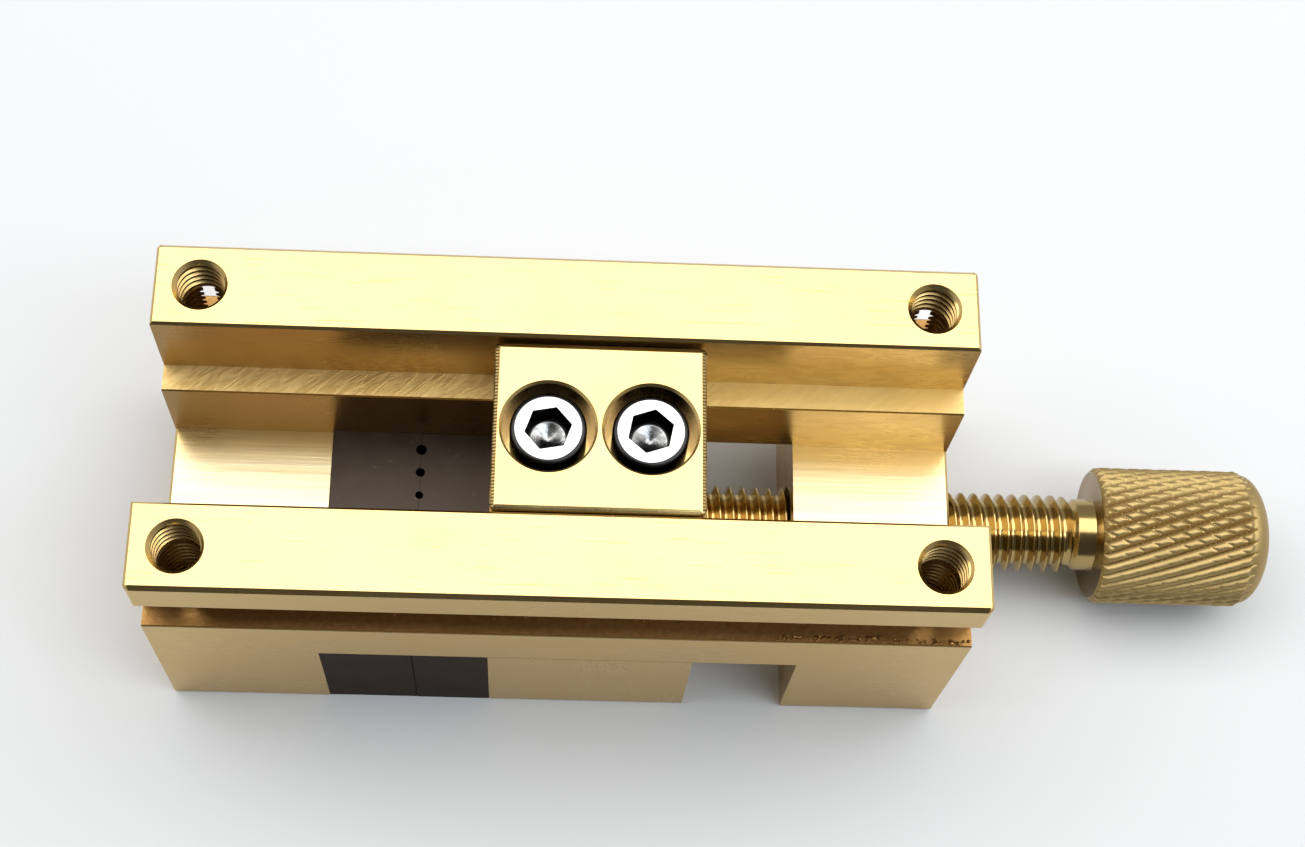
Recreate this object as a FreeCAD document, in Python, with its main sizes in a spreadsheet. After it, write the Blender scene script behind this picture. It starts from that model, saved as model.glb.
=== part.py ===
"""Brass honing guide: a slotted body with two rails, a slider clamped round its ledges by two cap
screws, a pair of dark jaws that close on small tools, and a knurled thumb screw that moves the slider.

Design axes: X along the body, 0 at the middle of the body; Y across it, 0 on the centreline; Z up,
0 on the base. The row frame has the same Y and Z, and its X starts midway along the whole guide.
"""
import FreeCAD, Part
import math
import os

import Sketcher

# Driving dimensions, mm.
SIZES = {
    # Body, milled from square bar.
    "bodyLength": 58.0,
    "bodyWidth": 25.4,
    "bodyHeight": 25.4,
    "channelWidth": 13.0,
    "channelDepth": 7.1,
    "slotWidth": 9.0,
    "slotDepth": 14.3,
    "notchLength": 34.5,
    "notchHeight": 11.45,
    "lipHeight": 3.75,
    "sideGrooveBottom": 8.3,
    "sideGrooveDepth": 1.5,
    "edgeBreak": 0.2,
    "railCorner": 0.4,
    "tapGap": 0.03,
    "overrun": 1.0,
    # M4 tapped holes at the ends of both rails.
    "railHoleInset": 3.2,
    "railHoleDepth": 10.0,
    "railHoleDiameter": 3.3,
    "railSinkDiameter": 3.9,
    # Jaws.
    "fixedJawLength": 6.6,
    "movingJawLength": 5.5,
    "jawGap": 0.02,
    "jawSideGap": 0.05,
    "jawBase": 0.15,
    "needlePitch": 1.8,
    "needleFirst": 3.2,
    "needleLargest": 0.8,
    "needleStep": 0.1,
    # Countersunk M2.5 screws that hold the jaws.
    "jawScrewSpacing": 17.0,
    "jawScrewDiameter": 2.5,
    "jawScrewLength": 10.0,
    "jawScrewHead": 4.7,
    "jawScrewEdge": 0.3,
    "jawScrewSink": 0.15,
    "jawSinkGap": 0.1,
    "jawScrewClearance": 2.7,
    "jawKeyWidth": 1.5,
    "jawKeyDepth": 0.7,
    # Slider: a block in the notch with a tongue up the slot, and a plate on the ledges.
    "sliderLength": 14.8,
    "sliderGap": 0.05,
    "tongueWidth": 8.8,
    "plateWidth": 12.4,
    "plateDrop": 0.5,
    "plateCorner": 0.4,
    # M3 socket cap screws that join plate and block.
    "capPitch": 7.1,
    "capBore": 6.5,
    "capBoreEdge": 0.18,
    "capBoreDepth": 3.4,
    "capHole": 3.4,
    "capHeadDiameter": 5.35,
    "capHeadHeight": 3.0,
    "capThread": 3.0,
    "capLength": 12.0,
    "capKeyWidth": 2.8,
    "capKeyDepth": 1.9,
    "capDrillDiameter": 2.5,
    "capDrillDepth": 0.36,
    "capTapEnd": 0.4,
    "capEdge": 0.27,
    # Thumb screw, M6 x 1, and the pins that hold its tip in the slider.
    "screwHeight": 5.7,
    "threadDiameter": 5.96,
    "threadGap": 0.04,
    "threadOutside": 10.2,
    "neckLength": 1.7,
    "neckDiameter": 5.5,
    "knobLength": 13.7,
    "knobDiameter": 10.5,
    "knobEdge": 0.4,
    "domeDepth": 1.8,
    "threadEdge": 0.5,
    "tipDiameter": 4.3,
    "tipLength": 6.9,
    "tipGap": 0.05,
    "tipEdge": 0.3,
    "tipNeckDiameter": 3.1,
    "tipNeckWidth": 1.7,
    "tipNeckStart": 2.6,
    "pinDiameter": 1.5,
    "pinBase": 0.4,
    "pinLength": 8.0,
}

# Expressions that several sub-parts share.
FRAME_SHIFT = "-(Sizes.threadOutside + Sizes.neckLength + Sizes.knobLength) / 2"
BODY_END = "Sizes.bodyLength / 2"
NOTCH_END = "Sizes.notchLength / 2"
SLOT_FLOOR = "(Sizes.bodyHeight - Sizes.slotDepth)"
LEDGE_TOP = "(Sizes.bodyHeight - Sizes.channelDepth)"
PLATE_BASE = "(Sizes.bodyHeight - Sizes.channelDepth + Sizes.sliderGap)"
PLATE_TOP = "(Sizes.bodyHeight - Sizes.plateDrop)"
RAIL_LINE = "(Sizes.bodyWidth + Sizes.channelWidth) / 4"
JAW_FACE = "(Sizes.fixedJawLength - Sizes.notchLength / 2)"
SLIDER_START = "(Sizes.fixedJawLength + Sizes.jawGap + Sizes.movingJawLength - Sizes.notchLength / 2)"
SLIDER_END = f"({SLIDER_START} + Sizes.sliderLength)"
PARTING_LINE = f"({JAW_FACE} + Sizes.jawGap / 2)"
# The retaining pins stand in the block, either side of the waist near the tip of the thumb screw.
PIN_STATION = f"{SLIDER_END} - Sizes.tipLength + Sizes.tipNeckStart + Sizes.tipNeckWidth / 2"
NEEDLE_COUNT = 5
UPRIGHT = 0.99
SINK_TAPER = -45.0
DRILL_TAPER = -72.5
SINK_ANGLE = 90
TOLERANCE = 1e-6
# Each cap screw: its side of the slider's middle, and how far it is turned, in degrees.
CAP_SCREWS = {"cap_screw_left": ("-", 11.0), "cap_screw_right": ("+", 19.0)}

doc = FreeCAD.newDocument("HoningGuide")
sheet = doc.addObject("Spreadsheet::Sheet", "Sizes")


def fill_sheet():
    """One row per driving dimension: its name beside its value."""
    for row, (alias, size) in enumerate(SIZES.items(), start=1):
        sheet.set(f"A{row}", alias)
        sheet.set(f"B{row}", str(size))
        sheet.setAlias(f"B{row}", alias)
    doc.recompute()


def value(expression):
    """The present value of an expression in the sheet's aliases."""
    return float(sheet.evalExpression(expression))


def place(target, x="0", y="0", z="0", axis=FreeCAD.Vector(0, 0, 1), angle=0.0):
    """Places a sub-part; x, y and z are expressions in design axes."""
    target.Placement = FreeCAD.Placement(FreeCAD.Vector(), FreeCAD.Rotation(axis, angle))
    target.setExpression("Placement.Base.x", f"{FRAME_SHIFT} + {x}")
    target.setExpression("Placement.Base.y", y)
    target.setExpression("Placement.Base.z", z)


def new_body(label):
    body = doc.addObject("PartDesign::Body", label)
    body.Label = label
    return body


def new_sketch(body, name, role, offset="0"):
    """An empty sketch on one of the body's origin planes, moved along the plane's normal."""
    sketch = body.newObject("Sketcher::SketchObject", name)
    plane = next(item for item in body.Origin.OriginFeatures if item.Role == role)
    sketch.AttachmentSupport = [(plane, "")]
    sketch.MapMode = "FlatFace"
    sketch.setExpression("AttachmentOffset.Base.z", offset)
    return sketch


def pin_point(sketch, geometry, point, spot):
    """Ties a point of the sketch to a pair of expressions."""
    for kind, expression in zip(("DistanceX", "DistanceY"), spot):
        constraint = Sketcher.Constraint(kind, -1, 1, geometry, point, value(expression))
        index = sketch.addConstraint(constraint)
        sketch.setExpression(f"Constraints[{index}]", expression)


def draw_polygon(sketch, corners):
    """A closed polygon; each corner is a pair of expressions."""
    spots = [FreeCAD.Vector(value(x), value(y), 0) for x, y in corners]
    lines = [sketch.addGeometry(Part.LineSegment(start, end))
             for start, end in zip(spots, spots[1:] + spots[:1])]
    for line, following, corner in zip(lines, lines[1:] + lines[:1], corners):
        sketch.addConstraint(Sketcher.Constraint("Coincident", line, 2, following, 1))
        pin_point(sketch, line, 1, corner)


def draw_box(sketch, low, high):
    """A rectangle between two corners, each a pair of expressions."""
    draw_polygon(sketch, [low, (high[0], low[1]), high, (low[0], high[1])])


def draw_circle(sketch, centre, diameter):
    centre_point = FreeCAD.Vector(value(centre[0]), value(centre[1]), 0)
    circle = Part.Circle(centre_point, FreeCAD.Vector(0, 0, 1), value(diameter) / 2)
    geometry = sketch.addGeometry(circle)
    pin_point(sketch, geometry, 3, centre)
    index = sketch.addConstraint(Sketcher.Constraint("Diameter", geometry, value(diameter)))
    sketch.setExpression(f"Constraints[{index}]", diameter)


def draw_hexagon(sketch, width):
    """A hexagon about the origin, given its width across flats, with a flat facing +Y."""
    half = f"({width}) / 2"
    corner = f"({width}) / sqrt(3)"
    draw_polygon(sketch, [
        (corner, "0"), (f"{corner} / 2", half), (f"-{corner} / 2", half),
        (f"-{corner}", "0"), (f"-{corner} / 2", f"-{half}"), (f"{corner} / 2", f"-{half}")])


def add_pad(body, sketch, length, symmetric=False):
    pad = body.newObject("PartDesign::Pad", f"{sketch.Name}Pad")
    pad.Profile = sketch
    pad.setExpression("Length", length)
    pad.SideType = "Symmetric" if symmetric else "One side"
    doc.recompute()
    return pad


def add_pocket(body, sketch, length="", reverse=False):
    """Cuts the sketch to a length, or both ways through the whole body; it must remove material."""
    before = body.Shape.Volume
    pocket = body.newObject("PartDesign::Pocket", f"{sketch.Name}Pocket")
    pocket.Profile = sketch
    if length:
        pocket.setExpression("Length", length)
        pocket.Reversed = reverse
    else:
        pocket.SideType = "Two sides"
        pocket.Type = "ThroughAll"
        pocket.Type2 = "ThroughAll"
    doc.recompute()
    if not body.Shape.Volume < before:
        raise RuntimeError(f"{pocket.Name} cut nothing")
    return pocket


def add_turning(body, sketch):
    """A solid of revolution about the sketch's horizontal axis."""
    turning = body.newObject("PartDesign::Revolution", f"{sketch.Name}Turned")
    turning.Profile = sketch
    turning.ReferenceAxis = (sketch, ["H_Axis"])
    turning.Angle = 360
    doc.recompute()
    return turning


def break_edges(body, size, wanted, name="Edges"):
    """Chamfers the edges of the body's tip that a test accepts."""
    tip = body.Tip
    names = [f"Edge{number}" for number, edge in enumerate(tip.Shape.Edges, start=1) if wanted(edge)]
    chamfer = body.newObject("PartDesign::Chamfer", f"{body.Name}{name}")
    chamfer.Base = (tip, names)
    chamfer.setExpression("Size", size)
    doc.recompute()


def round_upright_edges(body, radius, wanted=lambda edge: True):
    """Rounds the upright edges of the body's tip that a test accepts."""
    tip = body.Tip
    rounding = body.newObject("PartDesign::Fillet", f"{body.Name}Corners")
    rounding.Base = (tip, [f"Edge{number}" for number, edge in enumerate(tip.Shape.Edges, start=1)
                           if abs(edge.tangentAt(edge.FirstParameter).z) > UPRIGHT and wanted(edge)])
    rounding.setExpression("Radius", radius)
    doc.recompute()


def lies_at(edge, axis, level):
    """True for an edge whose ends are both at one level along an axis."""
    return all(abs(getattr(vertex.Point, axis) - level) < TOLERANCE for vertex in edge.Vertexes)


def make_guide_body():
    """Bar with the channel, ledges, slot and side grooves along it, and the notch across it."""
    body = new_body("guide_body")
    profile = new_sketch(body, "guideProfile", "YZ_Plane")
    half = "Sizes.bodyWidth / 2"
    chamfer = "Sizes.edgeBreak"
    inner = "Sizes.channelWidth / 2"
    groove = "Sizes.bodyWidth / 2 - Sizes.sideGrooveDepth"
    lip = "Sizes.bodyHeight - Sizes.lipHeight"
    lower = "Sizes.bodyHeight - Sizes.sideGrooveBottom"
    right_side = [
        (f"{half} - {chamfer}", "0"), (half, chamfer),
        (half, f"{lower} - {chamfer} / 2"), (f"{half} - {chamfer} / 2", lower),
        (groove, lower), (groove, lip),
        (f"{half} - {chamfer} / 2", lip), (half, f"{lip} + {chamfer} / 2"),
        (half, f"Sizes.bodyHeight - {chamfer}"), (f"{half} - {chamfer}", "Sizes.bodyHeight"),
        (f"{inner} + {chamfer}", "Sizes.bodyHeight"), (inner, f"Sizes.bodyHeight - {chamfer}"),
        (inner, LEDGE_TOP), (f"Sizes.slotWidth / 2 + {chamfer} / 2", LEDGE_TOP),
        ("Sizes.slotWidth / 2", f"{LEDGE_TOP} - {chamfer} / 2"), ("Sizes.slotWidth / 2", SLOT_FLOOR)]
    left_side = [(f"-({y})", z) for y, z in reversed(right_side)]
    draw_polygon(profile, right_side + left_side)
    add_pad(body, profile, "Sizes.bodyLength", symmetric=True)
    round_upright_edges(body, "Sizes.railCorner", lambda edge: (
        edge.Vertexes[0].Z > value(LEDGE_TOP)
        and any(lies_at(edge, "y", side) for side in (-value(half), value(half)))))
    break_edges(body, "Sizes.edgeBreak", lambda edge: (
        any(lies_at(edge, "x", end) for end in (-value(BODY_END), value(BODY_END)))
        and (lies_at(edge, "z", value("Sizes.bodyHeight")) or lies_at(edge, "z", value(SLOT_FLOOR)))))

    notch = new_sketch(body, "notch", "XZ_Plane")
    draw_box(notch, (f"-({NOTCH_END})", "-Sizes.overrun"), (NOTCH_END, "Sizes.notchHeight"))
    add_pocket(body, notch)

    holes = new_sketch(body, "railHoles", "XY_Plane", "Sizes.bodyHeight")
    for along in (f"-({BODY_END} - Sizes.railHoleInset)", f"{BODY_END} - Sizes.railHoleInset"):
        for across in (f"-({RAIL_LINE})", RAIL_LINE):
            draw_circle(holes, (along, across), "Sizes.railHoleDiameter")
    doc.recompute()
    tapped = body.newObject("PartDesign::Hole", "railHolesTapped")
    tapped.Profile = holes
    doc.recompute()
    tapped.DepthType = "Dimension"
    tapped.setExpression("Depth", "Sizes.railHoleDepth")
    tapped.setExpression("Diameter", "Sizes.railHoleDiameter")
    tapped.HoleCutType = "Countersink"
    tapped.HoleCutCustomValues = True
    tapped.setExpression("HoleCutDiameter", "Sizes.railSinkDiameter")
    tapped.HoleCutCountersinkAngle = SINK_ANGLE
    tapped.DrillPoint = "Angled"
    doc.recompute()

    bore = new_sketch(body, "screwBore", "YZ_Plane", BODY_END)
    draw_circle(bore, ("0", "Sizes.screwHeight"), "Sizes.threadDiameter + 2 * Sizes.threadGap")
    add_pocket(body, bore, "(Sizes.bodyLength - Sizes.notchLength) / 2 + Sizes.overrun")

    taps = new_sketch(body, "jawTaps", "YZ_Plane", f"-({NOTCH_END})")
    for across in ("-Sizes.jawScrewSpacing / 2", "Sizes.jawScrewSpacing / 2"):
        draw_circle(taps, (across, "Sizes.screwHeight"), "Sizes.jawScrewDiameter + 2 * Sizes.tapGap")
    add_pocket(body, taps, "Sizes.jawScrewLength - Sizes.fixedJawLength + Sizes.overrun")
    place(body)


def make_jaw(label, face, back, base, top):
    """Dark jaw block between its clamping face and its back, with half-round needle grooves."""
    body = new_body(label)
    outline = new_sketch(body, f"{label}Outline", "XY_Plane", base)
    half = "(Sizes.bodyWidth / 2 - Sizes.jawSideGap)"
    draw_box(outline, (face, f"-{half}"), (back, half))
    add_pad(body, outline, f"{top} - {base}")
    break_edges(body, "Sizes.edgeBreak", lambda edge: (
        lies_at(edge, "x", value(face)) and abs(edge.tangentAt(edge.FirstParameter).z) > UPRIGHT))

    grooves = new_sketch(body, f"{label}Grooves", "XY_Plane")
    for number in range(NEEDLE_COUNT):
        across = f"Sizes.needleFirst - {number} * Sizes.needlePitch"
        size = f"Sizes.needleLargest - {number} * Sizes.needleStep"
        draw_circle(grooves, (PARTING_LINE, across), size)
    add_pocket(body, grooves)

    forwards = value(back) > value(face)
    holes = new_sketch(body, f"{label}Holes", "YZ_Plane", face)
    sinks = new_sketch(body, f"{label}Sinks", "YZ_Plane", face)
    for across in ("-Sizes.jawScrewSpacing / 2", "Sizes.jawScrewSpacing / 2"):
        draw_circle(holes, (across, "Sizes.screwHeight"), "Sizes.jawScrewClearance")
        draw_circle(sinks, (across, "Sizes.screwHeight"),
                    "Sizes.jawScrewHead + 2 * (Sizes.jawScrewSink + Sizes.jawSinkGap)")
    add_pocket(body, holes, f"abs({back} - {face}) + Sizes.overrun", reverse=forwards)
    sink = add_pocket(body, sinks, "Sizes.jawScrewSink + (Sizes.jawScrewHead - Sizes.jawScrewDiameter) / 2",
                      reverse=forwards)
    sink.TaperAngle = SINK_TAPER
    doc.recompute()
    place(body)


def make_jaw_screws(label, source, head, direction):
    """Two countersunk screws: one body placed on the left, and its mirror image on the right."""
    body = new_body(source)
    profile = new_sketch(body, f"{source}Profile", "XZ_Plane")
    radius = "Sizes.jawScrewDiameter / 2"
    cone = "(Sizes.jawScrewHead - Sizes.jawScrewDiameter) / 2"
    draw_polygon(profile, [
        ("0", "0"), ("0", "Sizes.jawScrewHead / 2"), (cone, radius),
        ("Sizes.jawScrewLength - Sizes.jawScrewEdge", radius),
        ("Sizes.jawScrewLength", f"{radius} - Sizes.jawScrewEdge"),
        ("Sizes.jawScrewLength", "0")])
    add_turning(body, profile)
    socket = new_sketch(body, f"{source}Socket", "YZ_Plane")
    draw_hexagon(socket, "Sizes.jawKeyWidth")
    add_pocket(body, socket, "Sizes.jawKeyDepth", reverse=True)
    body.Placement = FreeCAD.Placement(
        FreeCAD.Vector(), FreeCAD.Rotation(FreeCAD.Vector(0, 0, 1), 0 if direction > 0 else 180))
    body.setExpression("Placement.Base.x", f"{FRAME_SHIFT} + {head}")
    body.setExpression("Placement.Base.y", "Sizes.jawScrewSpacing / 2")
    body.setExpression("Placement.Base.z", "Sizes.screwHeight")
    twin = doc.addObject("Part::Mirroring", f"{source}Twin")
    twin.Source = body
    twin.Normal = FreeCAD.Vector(0, 1, 0)
    pair = doc.addObject("Part::Compound", label)
    pair.Label = label
    pair.Links = [body, twin]
    doc.recompute()


def make_slider_block():
    """Block across the notch with the tongue that runs up the slot to the plate."""
    body = new_body("slider_block")
    profile = new_sketch(body, "blockProfile", "YZ_Plane", SLIDER_START)
    half = "Sizes.bodyWidth / 2"
    chamfer = "Sizes.edgeBreak"
    base = "Sizes.sliderGap"
    shoulder = "Sizes.notchHeight - Sizes.sliderGap"
    right_side = [
        (f"{half} - {chamfer}", base), (half, f"{base} + {chamfer}"), (half, shoulder),
        ("Sizes.tongueWidth / 2", shoulder), ("Sizes.tongueWidth / 2", PLATE_BASE)]
    left_side = [(f"-({y})", z) for y, z in reversed(right_side)]
    draw_polygon(profile, right_side + left_side)
    add_pad(body, profile, "Sizes.sliderLength")

    taps = new_sketch(body, "capTaps", "XY_Plane", PLATE_BASE)
    for side in ("-", "+"):
        draw_circle(taps, (f"{SLIDER_START} + Sizes.sliderLength / 2 {side} Sizes.capPitch / 2", "0"),
                    "Sizes.capThread + 2 * Sizes.tapGap")
    screw_end = f"({PLATE_TOP} - Sizes.capBoreDepth - Sizes.capLength)"
    add_pocket(body, taps, f"{PLATE_BASE} - {screw_end} + Sizes.capTapEnd")

    bore = new_sketch(body, "tipBore", "YZ_Plane", SLIDER_END)
    draw_circle(bore, ("0", "Sizes.screwHeight"), "Sizes.tipDiameter + 2 * Sizes.tipGap")
    add_pocket(body, bore, "Sizes.tipLength + Sizes.jawGap")

    pins = new_sketch(body, "pinHoles", "XY_Plane")
    for across in pin_lines():
        draw_circle(pins, (PIN_STATION, across), "Sizes.pinDiameter")
    add_pocket(body, pins, "Sizes.pinBase + Sizes.pinLength", reverse=True)

    taps = new_sketch(body, "sliderJawTaps", "YZ_Plane", SLIDER_START)
    for across in ("-Sizes.jawScrewSpacing / 2", "Sizes.jawScrewSpacing / 2"):
        draw_circle(taps, (across, "Sizes.screwHeight"), "Sizes.jawScrewDiameter + 2 * Sizes.tapGap")
    add_pocket(body, taps, "Sizes.jawScrewLength - Sizes.movingJawLength + Sizes.overrun", reverse=True)
    place(body)


def pin_lines():
    """Distance of each retaining pin's axis from the centreline."""
    reach = "(Sizes.tipNeckDiameter / 2 + Sizes.tipGap + Sizes.pinDiameter / 2)"
    return (f"-{reach}", reach)


def make_retaining_pins():
    body = new_body("retaining_pins")
    body.AllowCompound = True
    for number, across in enumerate(pin_lines(), start=1):
        circle = new_sketch(body, f"retainingPin{number}", "XY_Plane", "Sizes.pinBase")
        draw_circle(circle, (PIN_STATION, across), "Sizes.pinDiameter")
        add_pad(body, circle, "Sizes.pinLength")
    place(body)


def make_slider_plate():
    """Plate on the ledges, with two counterbored holes along its centreline."""
    body = new_body("slider_plate")
    outline = new_sketch(body, "plateOutline", "XY_Plane", PLATE_BASE)
    draw_box(outline, (SLIDER_START, "-Sizes.plateWidth / 2"), (SLIDER_END, "Sizes.plateWidth / 2"))
    add_pad(body, outline, f"{PLATE_TOP} - {PLATE_BASE}")
    round_upright_edges(body, "Sizes.plateCorner")
    break_edges(body, "Sizes.edgeBreak", lambda edge: lies_at(edge, "z", value(PLATE_TOP)))

    centres = new_sketch(body, "capHoles", "XY_Plane", PLATE_TOP)
    for side in ("-", "+"):
        draw_circle(centres, (f"{SLIDER_START} + Sizes.sliderLength / 2 {side} Sizes.capPitch / 2", "0"),
                    "Sizes.capHole")
    doc.recompute()
    holes = body.newObject("PartDesign::Hole", "capHolesBored")
    holes.Profile = centres
    doc.recompute()
    holes.DepthType = "ThroughAll"
    holes.setExpression("Diameter", "Sizes.capHole")
    holes.HoleCutType = "Counterbore"
    holes.HoleCutCustomValues = True
    holes.setExpression("HoleCutDiameter", "Sizes.capBore")
    holes.setExpression("HoleCutDepth", "Sizes.capBoreDepth")
    doc.recompute()
    break_edges(body, "Sizes.capBoreEdge", lambda edge: (
        lies_at(edge, "z", value(PLATE_TOP)) and isinstance(edge.Curve, Part.Circle)), "Rims")
    place(body)


def make_cap_screw(label, side, turn):
    """Socket cap screw with its seat at the local origin, turned about its axis by some degrees."""
    body = new_body(label)
    profile = new_sketch(body, f"{label}Head", "XY_Plane")
    draw_circle(profile, ("0", "0"), "Sizes.capHeadDiameter")
    add_pad(body, profile, "Sizes.capHeadHeight")
    break_edges(body, "Sizes.capEdge", lambda edge: lies_at(edge, "z", value("Sizes.capHeadHeight")))
    shank = new_sketch(body, f"{label}Shank", "XY_Plane", "-Sizes.capLength")
    draw_circle(shank, ("0", "0"), "Sizes.capThread")
    add_pad(body, shank, "Sizes.capLength")
    break_edges(body, "Sizes.capEdge", lambda edge: lies_at(edge, "z", -value("Sizes.capLength")))
    socket = new_sketch(body, f"{label}Socket", "XY_Plane", "Sizes.capHeadHeight")
    draw_hexagon(socket, "Sizes.capKeyWidth")
    add_pocket(body, socket, "Sizes.capKeyDepth")
    drill = new_sketch(body, f"{label}Drill", "XY_Plane", "Sizes.capHeadHeight - Sizes.capKeyDepth")
    draw_circle(drill, ("0", "0"), "Sizes.capDrillDiameter")
    cone = add_pocket(body, drill, "Sizes.capDrillDepth")
    cone.TaperAngle = DRILL_TAPER
    doc.recompute()
    place(body, x=f"{SLIDER_START} + Sizes.sliderLength / 2 {side} Sizes.capPitch / 2",
          z=f"{PLATE_TOP} - Sizes.capBoreDepth", angle=turn)


def make_thumb_screw():
    """Turned in one piece: tip with a waist, threaded length, plain neck and domed knob."""
    body = new_body("thumb_screw")
    profile = new_sketch(body, "screwProfile", "XZ_Plane")
    tip = "Sizes.tipDiameter / 2"
    waist = "Sizes.tipNeckDiameter / 2"
    thread = "Sizes.threadDiameter / 2"
    neck = "Sizes.neckDiameter / 2"
    knob = "Sizes.knobDiameter / 2"
    tip_end = f"({SLIDER_END} - Sizes.tipLength)"
    waist_start = f"({tip_end} + Sizes.tipNeckStart)"
    thread_start = f"({SLIDER_END} + Sizes.sliderGap)"
    thread_end = f"({BODY_END} + Sizes.threadOutside)"
    knob_start = f"({thread_end} + Sizes.neckLength)"
    knob_end = f"({knob_start} + Sizes.knobLength)"
    dome_start = f"({knob_end} - Sizes.domeDepth)"
    corners = [
        (tip_end, "0"), (tip_end, f"{tip} - Sizes.tipEdge"), (f"{tip_end} + Sizes.tipEdge", tip),
        (waist_start, tip), (waist_start, waist),
        (f"{waist_start} + Sizes.tipNeckWidth", waist), (f"{waist_start} + Sizes.tipNeckWidth", tip),
        (thread_start, tip), (thread_start, f"{thread} - Sizes.threadEdge"),
        (f"{thread_start} + Sizes.threadEdge", thread),
        (thread_end, thread), (f"{thread_end} + ({thread} - {neck})", neck),
        (knob_start, neck), (knob_start, f"{knob} - Sizes.knobEdge"),
        (f"{knob_start} + Sizes.knobEdge", knob), (f"{dome_start} - Sizes.knobEdge", knob)]
    rim_place = (dome_start, f"{knob} - Sizes.knobEdge")
    pole_place = (knob_end, "0")
    spots = [FreeCAD.Vector(value(x), value(y), 0) for x, y in corners]
    rim = FreeCAD.Vector(value(rim_place[0]), value(rim_place[1]), 0)
    pole = FreeCAD.Vector(value(pole_place[0]), value(pole_place[1]), 0)
    radius = (rim.y ** 2 + (pole.x - rim.x) ** 2) / (2 * (pole.x - rim.x))
    sphere = Part.Circle(FreeCAD.Vector(pole.x - radius, 0, 0), FreeCAD.Vector(0, 0, 1), radius)

    lines = [profile.addGeometry(Part.LineSegment(start, end))
             for start, end in zip(spots, spots[1:] + [rim])]
    dome = profile.addGeometry(Part.ArcOfCircle(sphere, 0, math.asin(rim.y / radius)))
    axis = profile.addGeometry(Part.LineSegment(pole, spots[0]))
    for line, following in zip(lines, lines[1:]):
        profile.addConstraint(Sketcher.Constraint("Coincident", line, 2, following, 1))
    profile.addConstraint(Sketcher.Constraint("Coincident", lines[-1], 2, dome, 2))
    profile.addConstraint(Sketcher.Constraint("Coincident", dome, 1, axis, 1))
    profile.addConstraint(Sketcher.Constraint("Coincident", axis, 2, lines[0], 1))
    profile.addConstraint(Sketcher.Constraint("PointOnObject", dome, 3, -1))
    for line, corner in zip(lines, corners):
        pin_point(profile, line, 1, corner)
    pin_point(profile, dome, 2, rim_place)
    pin_point(profile, dome, 1, pole_place)
    add_turning(body, profile)
    place(body, z="Sizes.screwHeight")


def make_all():
    fill_sheet()
    make_guide_body()
    make_jaw("fixed_jaw", JAW_FACE, f"-({NOTCH_END})", "Sizes.jawBase", "Sizes.notchHeight")
    make_jaw("moving_jaw", f"({JAW_FACE} + Sizes.jawGap)", SLIDER_START,
             "Sizes.sliderGap", "Sizes.notchHeight - Sizes.sliderGap")
    make_jaw_screws("fixed_jaw_screws", "fixedJawScrew", f"{JAW_FACE} - Sizes.jawScrewSink", -1)
    make_jaw_screws("moving_jaw_screws", "movingJawScrew",
                    f"{JAW_FACE} + Sizes.jawGap + Sizes.jawScrewSink", 1)
    make_slider_block()
    make_slider_plate()
    for label, (side, turn) in CAP_SCREWS.items():
        make_cap_screw(label, side, turn)
    make_thumb_screw()
    make_retaining_pins()
    doc.recompute()


def check_all():
    for item in doc.Objects:
        if "Invalid" in item.State or "Error" in item.State:
            raise RuntimeError(f"{item.Name} failed: {item.State}")


NODES = ("guide_body", "fixed_jaw", "moving_jaw", "fixed_jaw_screws", "moving_jaw_screws", "slider_block",
         "slider_plate", "cap_screw_left", "cap_screw_right", "thumb_screw", "retaining_pins")


def write_all():
    os.makedirs("parts", exist_ok=True)
    shapes = {label: doc.getObjectsByLabel(label)[0].Shape for label in NODES}
    for label, shape in shapes.items():
        if shape.isNull() or not shape.isValid() or not shape.Solids:
            raise RuntimeError(f"{label} has no valid solid")
    for label, shape in shapes.items():
        shape.exportStep(f"parts/{label}.step")
        box = shape.BoundBox
        print(f"{label}: {len(shape.Solids)} solid(s), {shape.Volume:.1f} mm3, "
              f"X {box.XMin:.2f} to {box.XMax:.2f}, Z {box.ZMin:.2f} to {box.ZMax:.2f}")


make_all()
check_all()
write_all()
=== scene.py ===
import math
import random

import bmesh
import bpy
import numpy as np
from mathutils import Euler, Matrix, Vector


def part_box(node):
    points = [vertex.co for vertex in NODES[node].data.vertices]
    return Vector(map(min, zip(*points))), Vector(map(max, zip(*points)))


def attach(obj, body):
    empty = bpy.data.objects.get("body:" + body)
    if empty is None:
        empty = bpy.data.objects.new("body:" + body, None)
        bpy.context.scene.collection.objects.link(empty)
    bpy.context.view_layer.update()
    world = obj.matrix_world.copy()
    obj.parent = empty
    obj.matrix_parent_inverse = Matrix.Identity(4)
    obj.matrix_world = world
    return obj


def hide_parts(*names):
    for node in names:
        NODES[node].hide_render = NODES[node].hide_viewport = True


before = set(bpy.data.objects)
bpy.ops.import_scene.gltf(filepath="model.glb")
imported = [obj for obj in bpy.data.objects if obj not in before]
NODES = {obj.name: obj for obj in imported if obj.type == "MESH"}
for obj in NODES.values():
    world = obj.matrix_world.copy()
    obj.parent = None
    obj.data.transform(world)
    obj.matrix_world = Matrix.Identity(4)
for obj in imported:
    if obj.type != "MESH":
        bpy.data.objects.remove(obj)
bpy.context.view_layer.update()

MM = 0.001
TAU = 2.0 * math.pi
random.seed(20)


# ---------------------------------------------------------------- limits for meshes, metres
SAME_SPOT = 1e-7
SLIVER = 2e-6
# Faces of at least this many square metres are shaded flat, and so are level ones.
LARGE_FLAT = 2e-6
LEVEL = 0.9999


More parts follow.
